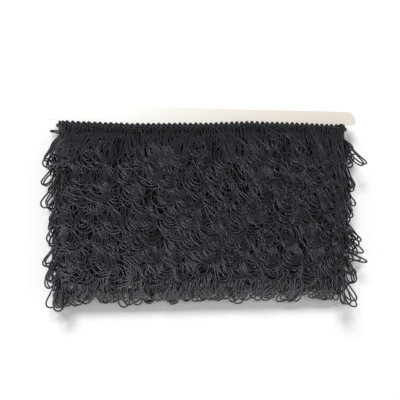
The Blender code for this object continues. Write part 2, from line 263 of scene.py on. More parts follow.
@dataclass(frozen=True)
class FoldingBoxboard:
    """White-lined boxboard, calendered on its face.

    The face is nearly matt with a faint mottle of pressed fibres, and a little cream. Its colour is
    also painted darker towards the right end, a painted falloff of the light.
    """

    fresh: str = "#fdfdfa"
    toned: str = "#e2dacf"
    roughness: float = 0.55
    ior: float = 1.5
    fibre: float = 1.6 * MM
    tone_start: float = -0.053
    tone_end: float = 0.093
    tone_bend: float = 0.6
    cloudiness: float = 0.06

    def build(self) -> bpy.types.Material:
        """Make the card's material.

        Returns:
            The material.
        """
        material, tree, shader = plain_material("white_boxboard")
        place = add_node(tree, "ShaderNodeTexCoord")
        parts = add_node(tree, "ShaderNodeSeparateXYZ", None, {0: place.outputs["Object"]})
        # Painted light: the colour turns darker and creamier towards the right end, standing in for
        # the light that falls off there.
        painted_falloff = add_node(
            tree, "ShaderNodeMapRange", None,
            {"Value": parts.outputs[0], "From Min": self.tone_start, "From Max": self.tone_end},
        )
        bent = add_node(
            tree, "ShaderNodeMath", {"operation": "POWER"},
            {0: painted_falloff.outputs[0], 1: self.tone_bend},
        )
        cloud = add_node(
            tree, "ShaderNodeTexNoise", None,
            {"Vector": place.outputs["Object"], "Scale": 26.0, "Detail": 3.0},
        )
        share = add_node(
            tree, "ShaderNodeMath", {"operation": "MULTIPLY_ADD", "use_clamp": True},
            {0: cloud.outputs[0], 1: self.cloudiness, 2: bent.outputs[0]},
        )
        fibres = add_node(
            tree, "ShaderNodeTexNoise", None,
            {"Vector": place.outputs["Object"], "Scale": 1 / self.fibre, "Detail": 5.0},
        )
        colour = add_node(
            tree, "ShaderNodeMix", {"data_type": "RGBA"},
            {0: share.outputs[0], 6: hex_to_linear(self.fresh), 7: hex_to_linear(self.toned)},
        )
        bump = add_node(
            tree, "ShaderNodeBump", None,
            {"Strength": 0.25, "Distance": 0.05 * MM, "Height": fibres.outputs[0]},
        )
        set_inputs(tree, shader, {
            "Base Color": colour.outputs[2], "Normal": bump.outputs[0],
            "Roughness": self.roughness, "IOR": self.ior,
        })
        return material


@dataclass(frozen=True)
class PaperSweep:
    """Plain white background paper, matt and even."""

    colour: str = "#fdfdfd"
    roughness: float = 0.9

    def build(self) -> bpy.types.Material:
        """Make the floor's material.

        Returns:
            The material.
        """
        material, tree, shader = plain_material("white_paper_sweep")
        set_inputs(tree, shader, {
            "Base Color": hex_to_linear(self.colour), "Roughness": self.roughness,
            "Specular IOR Level": 0.2,
        })
        return material


@dataclass
class Winding:
    """Where the wound trim lies, worked out from the card's box. Sizes in metres."""

    row_count: int = 8
    row_pitch: float = 12.5 * MM
    heading_height: float = 6.4 * MM
    heading_stack: float = 4.5 * MM
    trim_depth: float = 29.0 * MM
    clearance: float = 0.35 * MM
    bare_lip: float = 10.5 * MM
    notch_depth: float = 13.4 * MM
    turn_inset: float = 0.2 * MM
    # Rise of the top row's upper edge by place along the card, both in millimetres.
    wave: tuple[tuple[float, float], ...] = (
        (-87, 0.0), (-48, -0.8), (0, 0.6), (27, 2.2), (58, 2.0), (87, 1.3),
    )

    def __post_init__(self) -> None:
        """Work out where the turns lie from the card's box."""
        low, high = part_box(CARD_NODE)
        self.middle_x = (low[0] + high[0]) / 2
        self.middle_z = (low[2] + high[2]) / 2
        self.card_top = high[1]
        self.card_bottom = low[1]
        self.turn_centre = (high[0] - low[0]) / 2 - self.notch_depth + self.turn_inset
        self.turn_inner = (high[2] - low[2]) / 2 + self.clearance
        self.turn_outer = self.turn_inner + self.heading_stack
        self.lap_length = 4 * self.turn_centre + 2 * math.pi * self.turn_outer

    def row_top(self, row: int) -> float:
        """Height on the card of a row's upper edge, without its wave."""
        return self.card_top - self.bare_lip - self.clearance - (row - 1) * self.row_pitch

    def lift(self, row: int, across: np.ndarray | float) -> np.ndarray | float:
        """Rise of the heading's upper edge above a straight line. Only the top row has one."""
        if row > 1:
            return 0.0 * np.asarray(across)
        places, lifts = np.array(self.wave).T * MM
        return np.interp(across, places, lifts)


# How far the lowest loops of a row lie off the heading's inner face, by depth below the heading's
# top, in millimetres. Each row rests on the row below it, and the last one droops to the floor.
SHEETS: dict[tuple[Side, Fall], tuple[tuple[float, float], ...]] = {
    (Side.FRONT, Fall.TWO_ROWS): ((6.4, 2.2), (12.0, 4.7), (19.0, 4.9), (24.0, 6.6), (29.0, 7.4)),
    (Side.FRONT, Fall.LAST_ROW): ((6.4, 3.3), (12.0, 4.7), (19.0, 4.9), (24.0, 5.0), (30.0, 3.8)),
    (Side.FRONT, Fall.FLOOR): ((6.4, 3.0), (17.0, 1.4), (21.0, -3.0), (25.5, -8.2), (29.0, -10.2)),
    (Side.BACK, Fall.TWO_ROWS): ((6.4, 2.6), (11.3, 4.7), (17.8, 4.9), (23.0, 7.6), (29.0, 8.6)),
    (Side.BACK, Fall.LAST_ROW): ((6.4, 2.6), (11.3, 4.7), (16.0, 5.2), (21.5, 8.6)),
    (Side.BACK, Fall.FLOOR): ((6.4, 1.4), (10.5, 2.2), (16.0, 4.8), (21.5, 8.6)),
}


def climb(winding: Winding, side: Side, row: int, depth: np.ndarray) -> np.ndarray:
    """Offset of a row's lowest loops from the heading's inner face.

    Args:
        winding: Sizes of the winding.
        side: Face of the card.
        row: Number of the row, from the top.
        depth: Depths below the heading's top, in metres.

    Returns:
        Offsets in metres.
    """
    last = winding.row_count
    fall = {last - 1: Fall.LAST_ROW, last: Fall.FLOOR}.get(row, Fall.TWO_ROWS)
    depths, offs = zip(*SHEETS[side, fall])
    return np.interp(depth / MM, depths, offs) * MM


class HeightField:
    """Heights of what lies on one face of the card, on a fine square grid.

    Heights are measured outwards from the card's middle plane, so that one rule serves both faces.
    """

    nothing: float = -1.0
    rim: int = 3

    def __init__(self, low: tuple[float, float], high: tuple[float, float], cell: float) -> None:
        """Make an empty field.

        Args:
            low: Lowest x and y.
            high: Highest x and y.
            cell: Size of a cell.
        """
        self.low = low
        self.cell = cell
        self.columns = int((high[0] - low[0]) / cell) + 1
        self.rows = int((high[1] - low[1]) / cell) + 1
        self.heights = np.full((self.rows, self.columns), self.nothing)

    def grid(self) -> tuple[np.ndarray, np.ndarray]:
        """Place of every cell's middle.

        Returns:
            Arrays of x and of y.
        """
        x = self.low[0] + (np.arange(self.columns) + 0.5) * self.cell
        y = self.low[1] + (np.arange(self.rows) + 0.5) * self.cell
        return np.meshgrid(x, y)

    def ball(self, radius: float) -> tuple[np.ndarray, np.ndarray, np.ndarray]:
        """Cells under a ball and how far its surface is above or below its middle there.

        Args:
            radius: The ball's radius.

        Returns:
            Row steps, column steps and half heights.
        """
        reach = int(radius / self.cell)
        steps = np.arange(-reach, reach + 1)
        down, across = np.meshgrid(steps, steps, indexing="ij")
        spread = (down ** 2 + across ** 2) * self.cell ** 2
        held = spread <= radius ** 2
        return down[held], across[held], np.sqrt(radius ** 2 - spread[held])

    def cells(self, x: np.ndarray, y: np.ndarray) -> tuple[np.ndarray, np.ndarray]:
        """Row and column of places, kept inside the field."""
        rim, low = self.rim, self.low
        column = np.clip(((x - low[0]) / self.cell).astype(int), rim, self.columns - 1 - rim)
        row = np.clip(((y - low[1]) / self.cell).astype(int), rim, self.rows - 1 - rim)
        return row, column

    def rest(self, x: np.ndarray, y: np.ndarray, radius: float) -> np.ndarray:
        """Height at which a cord's middle would rest at each place.

        Args:
            x: Places along X.
            y: Places along Y.
            radius: The cord's radius.

        Returns:
            Heights of the cord's middle.
        """
        row, column = self.cells(x, y)
        down, across, half = self.ball(radius)
        under = self.heights[row[:, None] + down, column[:, None] + across] + half
        return under.max(axis=1)

    def stamp(self, x: np.ndarray, y: np.ndarray, z: np.ndarray, radius: float) -> None:
        """Add a laid cord to the field.

        Args:
            x: Places along X.
            y: Places along Y.
            z: Heights of the cord's middle.
            radius: The cord's radius.
        """
        row, column = self.cells(x, y)
        down, across, half = self.ball(radius)
        flat = (row[:, None] + down) * self.columns + column[:, None] + across
        np.maximum.at(self.heights.ravel(), flat.ravel(), (z[:, None] + half).ravel())


def smooth(values: np.ndarray, spacing: float, width: float) -> np.ndarray:
    """Blur a row of values with a bell of a given width.

    Args:
        values: Values at even spacing.
        spacing: Distance between them.
        width: Standard deviation of the bell.

    Returns:
        The blurred values.
    """
    reach = max(1, int(3 * width / spacing))
    bell = np.exp(-0.5 * (np.arange(-reach, reach + 1) * spacing / width) ** 2)
    padded = np.pad(values, reach, mode="edge")
    return np.convolve(padded, bell / bell.sum(), mode="valid")


def clamp(value: float, limit: float) -> float:
    """Keep a value between minus a limit and the limit."""
    return max(-limit, min(limit, value))


def widest(values: np.ndarray, reach: int) -> np.ndarray:
    """Highest value within a number of steps of each place."""
    padded = np.pad(values, reach, mode="edge")
    windows = np.lib.stride_tricks.sliding_window_view(padded, 2 * reach + 1)
    return windows.max(axis=1)


def even_path(points: np.ndarray, spacing: float) -> np.ndarray:
    """Lay points at an even spacing along a path.

    Args:
        points: Points of the path.
        spacing: Distance wanted between the new points.

    Returns:
        The new points.
    """
    steps = np.linalg.norm(np.diff(points, axis=0), axis=1)
    along = np.concatenate([[0.0], np.cumsum(steps)])
    count = max(2, int(along[-1] / spacing))
    places = np.linspace(0, along[-1], count)
    return np.stack([np.interp(places, along, points[:, axis]) for axis in range(3)], axis=1)


def hermite(start: np.ndarray, out: np.ndarray, end: np.ndarray, into: np.ndarray,
            count: int) -> np.ndarray:
    """Points of a smooth curve between two places with given directions.

    Args:
        start: First place.
        out: Direction and speed at the first place.
        end: Last place.
        into: Direction and speed at the last place.
        count: Number of points.

    Returns:
        The points.
    """
    share = np.linspace(0, 1, count)[:, None]
    square, cube = share ** 2, share ** 3
    return (
        (2 * cube - 3 * square + 1) * start
        + (cube - 2 * square + share) * out
        + (3 * square - 2 * cube) * end
        + (cube - square) * into
    )


class CordMesh:
    """Collects cords of one thickness and skins them all as one mesh."""

    tiny: float = 1e-12
    off_axis: tuple[float, float, float] = (0.31, 0.22, 0.93)
    twist_start: float = 5 * MM
    cords_per_column: int = 8
    strip_margins: tuple[float, float] = (0.02, 0.08)

    def __init__(self, name: str, radius: float, sides: int, points: int) -> None:
        """Start an empty collection.

        Args:
            name: Name of the piece.
            radius: Radius of the cord.
            sides: Number of sides of the skin.
            points: Number of sections along every cord.
        """
        self.name = name
        self.radius = radius
        self.sides = sides
        self.points = points
        self.paths: list[np.ndarray] = []

    def add(self, path: np.ndarray) -> None:
        """Add one cord, with half of its sections spread by length and half by bend.

        Args:
            path: Points of its middle line.
        """
        steps = np.diff(path, axis=0)
        lengths = np.linalg.norm(steps, axis=1)
        bends = np.linalg.norm(np.diff(steps / (lengths[:, None] + self.tiny), axis=0), axis=1)
        turned = smooth(np.append(bends, 0.0) + np.append(0.0, bends), 1.0, 2.0)
        share = lengths / lengths.sum() + turned / (turned.sum() + 1e-9)
        along = np.concatenate([[0.0], np.cumsum(share)])
        places = np.linspace(0, along[-1], self.points)
        self.paths.append(
            np.stack([np.interp(places, along, path[:, axis]) for axis in range(3)], axis=1)
        )

    def frames(self, paths: np.ndarray) -> tuple[np.ndarray, np.ndarray]:
        """Carry a square cross along every cord without twist.

        Args:
            paths: Points of all cords, by cord, place and axis.

        Returns:
            Two arrays of directions across the cords.
        """
        tangents = np.gradient(paths, axis=1)
        tangents /= np.linalg.norm(tangents, axis=2, keepdims=True) + self.tiny
        out = np.zeros_like(paths)
        first = np.cross(tangents[:, 0], self.off_axis)
        out[:, 0] = first / np.linalg.norm(first, axis=1, keepdims=True)
        for place in range(1, self.points):
            here, carried = tangents[:, place], out[:, place - 1]
            carried = carried - here * (carried * here).sum(axis=1, keepdims=True)
            size = np.linalg.norm(carried, axis=1, keepdims=True)
            out[:, place] = carried / (size + self.tiny)
        return out, np.cross(tangents, out)

    def build(self, material: bpy.types.Material, dice: np.random.Generator) -> bpy.types.Object:
        """Skin the cords.

        Args:
            material: Finish of the cord.
            dice: Source of the start of each cord's twist.

        Returns:
            The joined mesh object.
        """
        paths = np.array(self.paths)
        count, points, sides = len(paths), self.points, self.sides
        out, aside = self.frames(paths)
        angles = 2 * np.pi * np.arange(sides) / sides
        ring = (
            out[:, :, None] * np.cos(angles)[:, None] + aside[:, :, None] * np.sin(angles)[:, None]
        )
        places = (paths[:, :, None] + self.radius * ring).reshape(-1, 3)
        first = (np.arange(count) * points * sides)[:, None, None]
        along = (np.arange(points - 1) * sides)[None, :, None]
        turn = np.arange(sides)[None, None, :]
        after = (turn + 1) % sides
        low, high = first + along, first + along + sides
        walls = np.stack([low + turn, low + after, high + after, high + turn], axis=-1)
        caps_first = first[:, :, 0] + np.arange(sides)[::-1]
        caps_last = first[:, :, 0] + (points - 1) * sides + np.arange(sides)
        mesh = bpy.data.meshes.new(self.name)
        faces = walls.reshape(-1, 4).tolist() + caps_first.tolist() + caps_last.tolist()
        mesh.from_pydata(places.tolist(), [], faces)
        mesh.materials.append(material)
        self.lay_maps(mesh, paths, dice)
        mesh.shade_smooth()
        return add_object(self.name, mesh)

    def lay_maps(self, mesh: bpy.types.Mesh, paths: np.ndarray, dice: np.random.Generator) -> None:
        """Give the skin its two maps: distance along and round the cord, and strips for baking.

        Args:
            mesh: The skin.
            paths: Points of all cords.
            dice: Source of the start of each cord's twist.
        """
        count, points, sides = len(paths), self.points, self.sides
        steps = np.linalg.norm(np.diff(paths, axis=1), axis=2)
        along = np.concatenate([np.zeros((count, 1)), np.cumsum(steps, axis=1)], axis=1)
        along += dice.uniform(0, self.twist_start, (count, 1))
        low_u, high_u = along[:, :-1, None] / MM, along[:, 1:, None] / MM
        turn = np.arange(sides)[None, None, :] / sides
        after = turn + 1 / sides
        square = ((low_u, turn), (low_u, after), (high_u, after), (high_u, turn))
        walls = np.stack([np.stack(np.broadcast_arrays(*corner), -1) for corner in square], -2)
        columns = max(1, round(math.sqrt(count / self.cords_per_column)))
        lanes = math.ceil(count / columns)
        cord = np.arange(count)[:, None, None, None]
        first, last = along[:, :1, None, None] / MM, along[:, -1:, None, None] / MM
        run = (walls[..., 0] - first) / (last - first)
        margin_u, margin_v = self.strip_margins
        strip_u = (cord % columns + margin_u + (1 - 2 * margin_u) * run) / columns
        strip_v = (cord // columns + margin_v + (1 - 2 * margin_v) * walls[..., 1]) / lanes
        strips = np.stack([strip_u, strip_v], -1)
        cap_place = np.repeat(strips.reshape(count, -1, 2)[:, 0], sides, axis=0)
        for kind, sheet, caps in (
            (CordMap.TWIST, walls, np.zeros((2 * count * sides, 2))),
            (CordMap.STRIPS, strips, np.concatenate([cap_place, cap_place])),
        ):
            layer = mesh.uv_layers.new(name=kind.value)
            corners = np.concatenate([sheet.reshape(-1, 2), caps])
            layer.data.foreach_set("uv", corners.astype(np.float32).ravel())


@dataclass
class CordWork:
    """What a row of trim is made of: cords that are laid one by one and joined in one mesh."""

    winding: Winding
    row: int
    dice: np.random.Generator
    cord: bpy.types.Material

    def __post_init__(self) -> None:
        """Note whether the row is the top one or the hem."""
        self.top = self.row == 1
        self.hem = self.row == self.winding.row_count

    def dress(self, cords: CordMesh) -> bpy.types.Object:
        """Skin the cords, hang them on the root body and hide the CAD row that they stand in for.

        Args:
            cords: The cords.

        Returns:
            The piece.
        """
        piece = cords.build(self.cord, self.dice)
        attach(piece, "root")
        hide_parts(ROW_NODE.format(self.row))
        LOG.info("%s: %d faces", piece.name, len(piece.data.polygons))
        return piece


@dataclass(frozen=True)
class LoopPlan:
    """One loop of the fringe before it is laid.

    Its two cords leave the root side by side, draw in towards the waist line, and meet in a round
    end that leans. Places are across the card and down from the heading's top.
    """

    root: float
    start: float
    gap: float
    fall: float
    waist: tuple[float, float]
    centre: tuple[float, float]
    radius: float
    lean: float
    squat: float
    pinch: float


@dataclass(frozen=True)
class LoopStyle:
    """How the loops of a row fall. Swings and hooks are angles in radians."""

    bunch_least: int = 3
    bunch_most: int = 6
    first_radius: float = 1.3 * MM
    radius_step: float = 1.5 * MM
    swing: float = 0.16
    hook: float = 0.75
    rise: float = 4.4 * MM
    stray_share: float = 0.12
    squat: float = 1.1
    pull: float = 0.9
    pinch: float = 0.2
    curl_share: float = 0.22
    ring_share: float = 0.40


TUMBLED = LoopStyle()
HANGING = LoopStyle(
    bunch_least=2, bunch_most=5, first_radius=1.5 * MM, radius_step=1.35 * MM, swing=0.11,
    hook=0.85, rise=3.2 * MM, stray_share=0.14, pull=0.7, curl_share=0.06, ring_share=0.12,
)
HEM = LoopStyle(
    bunch_least=1, bunch_most=3, first_radius=1.7 * MM, radius_step=0.9 * MM, swing=0.14,
    hook=0.85, rise=1.0 * MM, stray_share=0.08, squat=1.2, pull=0.5, pinch=0.1,
    curl_share=0.0, ring_share=0.25,
)


@dataclass(frozen=True)
class LoopChance:
    """What the loops' own differences are drawn from. Lengths in millimetres, angles in radians."""

    middle: float = 0.8
    rise_peak: float = 0.45
    curl: tuple[float, float] = (1.2, 2.2)
    ring_pinch: float = 0.8
    fan_swing: tuple[float, float] = (0.25, 1.15)
    fan_hook: tuple[float, float] = (-0.6, 0.4)
    hem_cut: tuple[float, float] = (0.8, 4.2)
    row_above_hem_cut: tuple[float, float] = (2.5, 7.0)
    start: tuple[float, float] = (5.0, 6.2)
    gap: tuple[float, float] = (1.4, 2.0)
    drag: float = 0.55
    squat: tuple[float, float] = (0.75, 1.35)
    rank: tuple[float, float] = (0.2, 0.9)
    hook: float = 0.07
    stray_swing: float = 0.25
    stray_hook: float = 0.8
    stray_cut: tuple[float, float] = (-1.5, 2.5)
    stray_radius: tuple[float, float] = (0.7, 1.3)
    wobble: tuple[float, float] = (0.1, 0.6)


@dataclass
class Fringe(CordWork):
    """The loops of one row on one face of the card."""

    side: Side
    chance: LoopChance = LoopChance()
    loop_pitch: float = 3.3 * MM
    cord_radius: float = 0.51 * MM
    front_turns: int = 4
    hem_turns: int = 3
    back_turns: int = 2
    front_skin: tuple[int, int] = (6, 22)
    back_skin: tuple[int, int] = (5, 16)
    spacing: float = 0.35 * MM
    overhang: float = 4.2 * MM
    root_cover: float = 0.7 * MM
    rib_top: float = 1.0 * MM
    fall: float = 0.5
    rib_fall: float = 0.75
    round_speed: float = 0.9
    wobble_run: float = 5.5
    waist_bend: float = 0.6
    widest_swing: float = 1.1
    widest_lean: float = 2.3
    # Near the card's ends the loops are kept small and upright, and swing outwards.
    end_zone: float = 5 * MM
    end_radius: float = 3.4 * MM
    end_hook: float = 0.4
    end_swing: float = 0.2
    end_spread: float = 0.30
    end_scatter: float = 0.08
    # Cords sink into one another a little, bridge dips, and press down what is piled too high.
    sink: float = 0.9
    bridge_steps: int = 3
    stiffness: float = 1.4 * MM
    pile_limit: float = 3.0 * MM
    pile_press: float = 0.25
    end_fall: float = 1.2
    # Slow waves along a row: size and run for each radian in millimetres, and number of the phase.
    drift_waves: tuple[tuple[float, float, int], ...] = ((2.2, 17, 0), (1.5, 9.2, 1), (0.8, 4.1, 2))
    sag_waves: tuple[tuple[float, float, int], ...] = ((1.2, 14, 2), (1.0, 6.3, 0))
    hem_sag: float = 0.3
    # The slanting fan of loops at the left end of the top row: swing by place.
    fan: tuple[tuple[float, float], ...] = (
        (-90 * MM, -0.5), (-80 * MM, -1.1), (-66 * MM, -1.15), (-56 * MM, -0.6), (-44 * MM, 0.0),
    )

    def __post_init__(self) -> None:
        """Choose the row's style, its number of turns and its slow sway."""
        super().__post_init__()
        self.phases = self.dice.uniform(0, 2 * math.pi, 3)
        self.front = self.side is Side.FRONT
        self.style = HANGING if self.top else HEM if self.hem else TUMBLED
        self.turns = self.back_turns
        if self.front:
            self.turns = self.hem_turns if self.hem else self.front_turns

    def wave(self, across: float, waves: tuple[tuple[float, float, int], ...]) -> float:
        """Sum of slow waves at a place along the row, in millimetres."""
        return sum(
            size * math.sin(across / MM / run + self.phases[number]) for size, run, number in waves
        )

    def plan(self) -> list[LoopPlan]:
        """Choose every loop of the row, one turn of trim after another.

        Returns:
            Loops in the order in which they are laid.
        """
        dice, style = self.dice, self.style
        edge = self.winding.turn_centre + self.overhang
        plans = []
        for turn in range(self.turns):
            start = -edge + self.loop_pitch * dice.uniform(0, 1)
            roots = list(np.arange(start, edge, self.loop_pitch))
            bunches = []
            while roots:
                count = int(dice.integers(style.bunch_least, style.bunch_most + 1))
                bunches.append(roots[:count])
                roots = roots[count:]
            for place in dice.permutation(len(bunches)):
                plans.extend(self.plan_bunch(bunches[place], turn))
        return plans

    def fall_of_bunch(self, middle: float, count: int, turn: int) -> tuple[float, ...]:
        """Choose how a bunch of loops hangs.

        Args:
            middle: Place of its middle across the card.
            count: Number of its loops.
            turn: Number of the turn of trim that they belong to.

        Returns:
            Length below the heading, swing, hook and pinch.
        """
        dice, style, chance, winding = self.dice, self.style, self.chance, self.winding
        sag = (self.hem_sag if self.hem else 1.0) * self.wave(middle, self.sag_waves) * MM
        widest_radius = style.first_radius + style.radius_step * count
        length = winding.trim_depth - winding.heading_height - widest_radius * style.squat
        length += style.rise * (chance.rise_peak - abs(dice.normal(0, 1))) + sag
        drift = self.wave(middle, self.drift_waves) * MM
        swing = dice.normal(0, style.swing) + drift / length
        hook = swing + dice.normal(0, style.hook)
        if dice.uniform() < style.curl_share:
            hook = math.copysign(dice.uniform(*chance.curl), hook)
        pinch = chance.ring_pinch if dice.uniform() < style.ring_share else style.pinch
        if self.top and self.front and turn > 0:
            fanned = float(np.interp(middle, *zip(*self.fan)))
            swing += fanned * dice.uniform(*chance.fan_swing)
            hook += fanned * dice.uniform(*chance.fan_hook)
        if self.hem:
            steps = turn if self.front else self.back_turns
            length -= dice.uniform(*chance.hem_cut) * steps * MM
        if self.front and self.row == winding.row_count - 1:
            length -= dice.uniform(*chance.row_above_hem_cut) * MM
        return length, swing, hook, pinch

    def plan_bunch(self, roots: list[float], turn: int) -> list[LoopPlan]:
        """Choose a few neighbouring loops that fell the same way and lie inside one another.

        Args:
            roots: Where they hang from the heading.
            turn: Number of the turn of trim that they belong to.

        Returns:
            Their plans.
        """
        dice, style, chance, winding = self.dice, self.style, self.chance, self.winding
        middle = float(np.mean(roots)) + dice.normal(0, chance.middle * MM)
        length, swing, hook, pinch = self.fall_of_bunch(middle, len(roots), turn)
        start, even_gap, fall = winding.heading_height - self.root_cover, None, self.fall
        if self.top:
            start = dice.uniform(*chance.start) * MM
            if turn == self.turns - 1:
                # The outermost turn shows its cords side by side, right up to the scallops.
                start, even_gap, fall = self.rib_top, self.loop_pitch / 2, self.rib_fall
        plans = []
        drag = dice.normal(0, chance.drag * MM, 2)
        squat = style.squat * dice.uniform(*chance.squat)
        for rank, root in enumerate(sorted(roots, key=lambda root: abs(root - middle))):
            radius = style.first_radius + style.radius_step * (rank + dice.uniform(*chance.rank))
            aim = root + style.pull * (middle - root)
            own_swing, own_hook, own_length = swing, hook + dice.normal(0, chance.hook), length
            if dice.uniform() < style.stray_share:
                own_swing += dice.normal(0, chance.stray_swing)
                own_hook += dice.normal(0, chance.stray_hook)
                own_length -= dice.uniform(*chance.stray_cut) * MM
                radius *= dice.uniform(*chance.stray_radius)
            beyond = abs(root) - (winding.turn_centre - self.end_zone)
            if beyond > 0:
                radius = min(radius, self.end_radius)
                own_hook = clamp(own_hook, self.end_hook)
                outwards = self.end_spread * beyond / own_length
                outwards += dice.uniform(0, self.end_scatter)
                own_swing = clamp(own_swing, self.end_swing) + math.copysign(1, root) * outwards
            own_swing = clamp(own_swing, self.widest_swing)
            across = own_length * math.sin(own_swing)
            down = winding.heading_height + own_length * math.cos(own_swing)
            plans.append(LoopPlan(
                root=root, start=start, gap=even_gap or dice.uniform(*chance.gap) * MM, fall=fall,
                waist=(middle, middle + across),
                centre=(aim + across + drag[0] * rank, down + drag[1] * rank),
                radius=radius, lean=clamp(own_swing + own_hook, self.widest_lean),
                squat=squat, pinch=pinch,
            ))
        return [plans[place] for place in dice.permutation(len(plans))]

    def path(self, plan: LoopPlan) -> np.ndarray:
        """Draw a loop on the flat: down from the heading, round, and up to it again.

        Args:
            plan: The loop.

        Returns:
            Points with x across the card, y as depth below the heading's top, and no height.
        """
        axis = np.array([math.sin(plan.lean), math.cos(plan.lean), 0.0])
        across = np.array([math.cos(plan.lean), -math.sin(plan.lean), 0.0])
        down = np.array([0.0, 1.0, 0.0])
        middle = np.array([*plan.centre, 0.0])
        strands = []
        for sign in (-1, 1):
            root = np.array([plan.root + sign * plan.gap / 2, plan.start, 0.0])
            end = middle + sign * across * plan.radius
            reach = np.linalg.norm(end - root)
            out, into = down * reach * plan.fall, axis * reach * self.round_speed
            strands.append(hermite(root, out, end, into, STRAND_POINTS))
        arc = (
            middle
            - across * plan.radius * np.cos(ARC_ANGLES)[:, None]
            + axis * (plan.radius * plan.squat) * np.sin(ARC_ANGLES)[:, None]
        )
        for strand in strands:
            share = np.linspace(0, 1, len(strand))
            phase = self.dice.uniform(0, 2 * math.pi)
            size = self.dice.uniform(*self.chance.wobble) * MM
            strand[:, 0] += size * np.sin(np.pi * share) * np.sin(self.wobble_run * share + phase)
            pinch = plan.pinch * np.sin(np.pi * share ** (self.waist_bend + plan.pinch)) ** 2
            line = plan.waist[0] + share * (plan.waist[1] - plan.waist[0])
            strand[:, 0] += pinch * (line - strand[:, 0])
        return np.concatenate([strands[0], arc, strands[1][::-1]])

    def base(self, across: np.ndarray, depth: np.ndarray) -> np.ndarray:
        """Least height off the card's middle plane, so that a row follows its climb.

        Args:
            across: Places along the card, from its middle.
            depth: Depths below the heading's top.

        Returns:
            Heights.
        """
        winding = self.winding
        total = winding.turn_inner + climb(winding, self.side, self.row, depth)
        excess = np.maximum(0.0, np.abs(across) - winding.turn_centre)
        rounded = np.sqrt(np.maximum(total ** 2 - excess ** 2, 0.0))
        fallen = -self.end_fall * (excess - np.maximum(total, 0))
        on_turn = np.where(excess < total, rounded, fallen)
        return np.where(excess > 0, np.minimum(on_turn, total), total)

    def lay(self, flat: np.ndarray, field: HeightField) -> np.ndarray:
        """Lay a loop on what is there already.

        Args:
            flat: Points of the loop on the flat.
            field: Height field of this face.

        Returns:
            Points in the scene's frame.
        """
        winding = self.winding
        even = even_path(flat, self.spacing)
        across, depth = even[:, 0], even[:, 1]
        x = winding.middle_x + across
        y = winding.row_top(self.row) + winding.lift(self.row, across) - depth
        base = self.base(across, depth) + self.cord_radius
        height = np.maximum(field.rest(x, y, self.cord_radius * self.sink), base)
        height = smooth(widest(height, self.bridge_steps), self.spacing, self.stiffness)
        limit = base + self.pile_limit
        height = np.where(height > limit, limit + (height - limit) * self.pile_press, height)
        floor = winding.middle_z - self.cord_radius
        height = np.maximum(height, -floor) if self.front else np.minimum(height, floor)
        field.stamp(x, y, height, self.cord_radius)
        return np.stack([x, y, winding.middle_z + self.side.value * height], axis=1)

    def build(self, field: HeightField) -> bpy.types.Object:
        """Lay every loop and join them.

        Args:
            field: Height field of this face.

        Returns:
            The piece.
        """
        name = f"fringe_loops_{self.side.name.lower()}_{self.row}"
        skin = self.front_skin if self.front else self.back_skin
        cords = CordMesh(name, self.cord_radius, *skin)
        for plan in self.plan():
            cords.add(self.lay(self.path(plan), field))
        return self.dress(cords)


